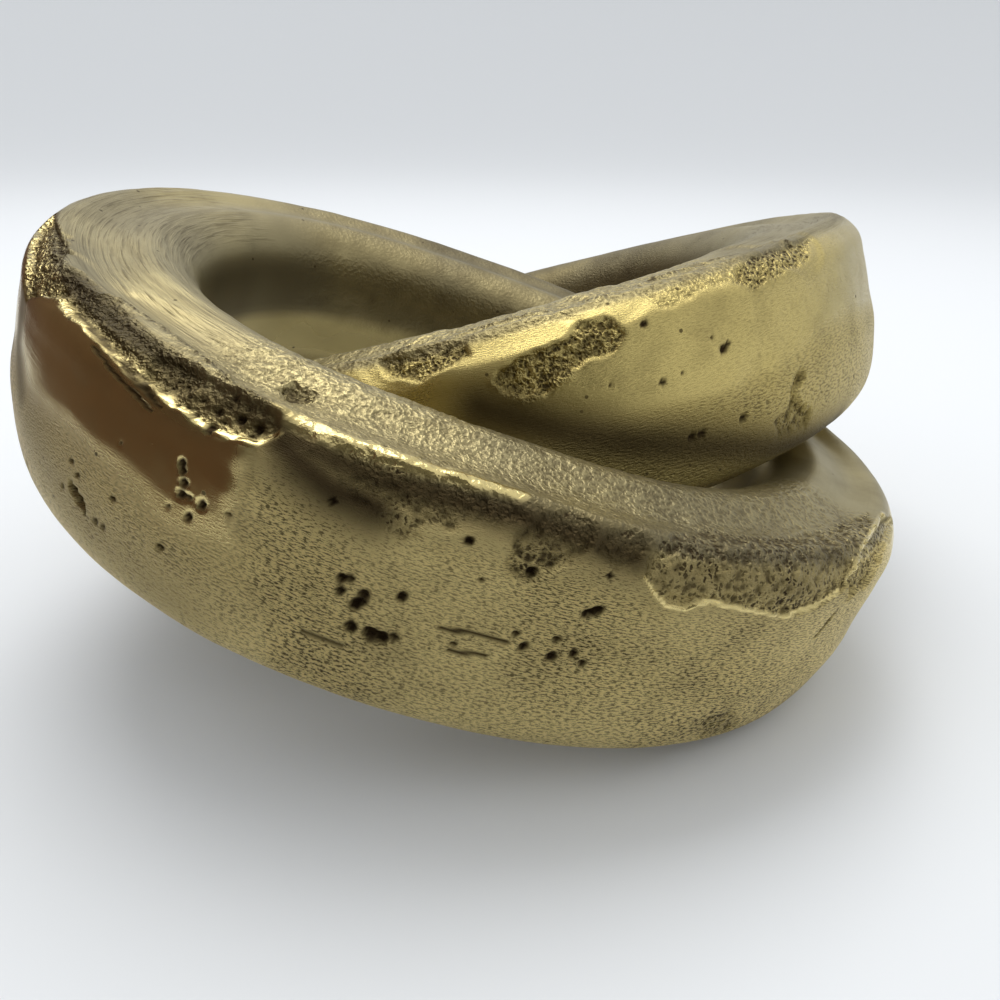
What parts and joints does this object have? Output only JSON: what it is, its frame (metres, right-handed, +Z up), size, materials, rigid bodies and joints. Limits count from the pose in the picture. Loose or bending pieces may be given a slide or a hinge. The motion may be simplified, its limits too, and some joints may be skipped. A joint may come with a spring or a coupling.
{
  "type": "interlocking ring sculpture",
  "caption": "Tabletop sculpture of thick cast metal rings linked through each other's eye, with a pitted antique brass finish; one ring turns on its own axis through the other.",
  "frame": {"origin": "centre of the bounding box, on the table", "axes": "+Z up, +X to the right as the sculpture is seen from the front, +Y to the back, -Y towards the front ring's near side"},
  "size_m": [0.1706, 0.1986, 0.083],
  "materials": {
    "cast_brass_front": "sand-cast, rubbed bright over a brown patina, satin, pitted",
    "cast_brass_rear": "sand-cast, rubbed bright over a brown patina, satin, pitted"
  },
  "bodies": {
    "front": {"front_ring": "cast_brass_front"},
    "rear": {"rear_ring": "cast_brass_rear"}
  },
  "joints": [
    {"name": "rear_ring_turn", "type": "hinge", "parent": "front", "child": "rear", "pos_m": [0.00348, 0.0155, 0.03853], "axis": [-0.255, 0.1299, 0.9582], "continuous": true}
  ]
}
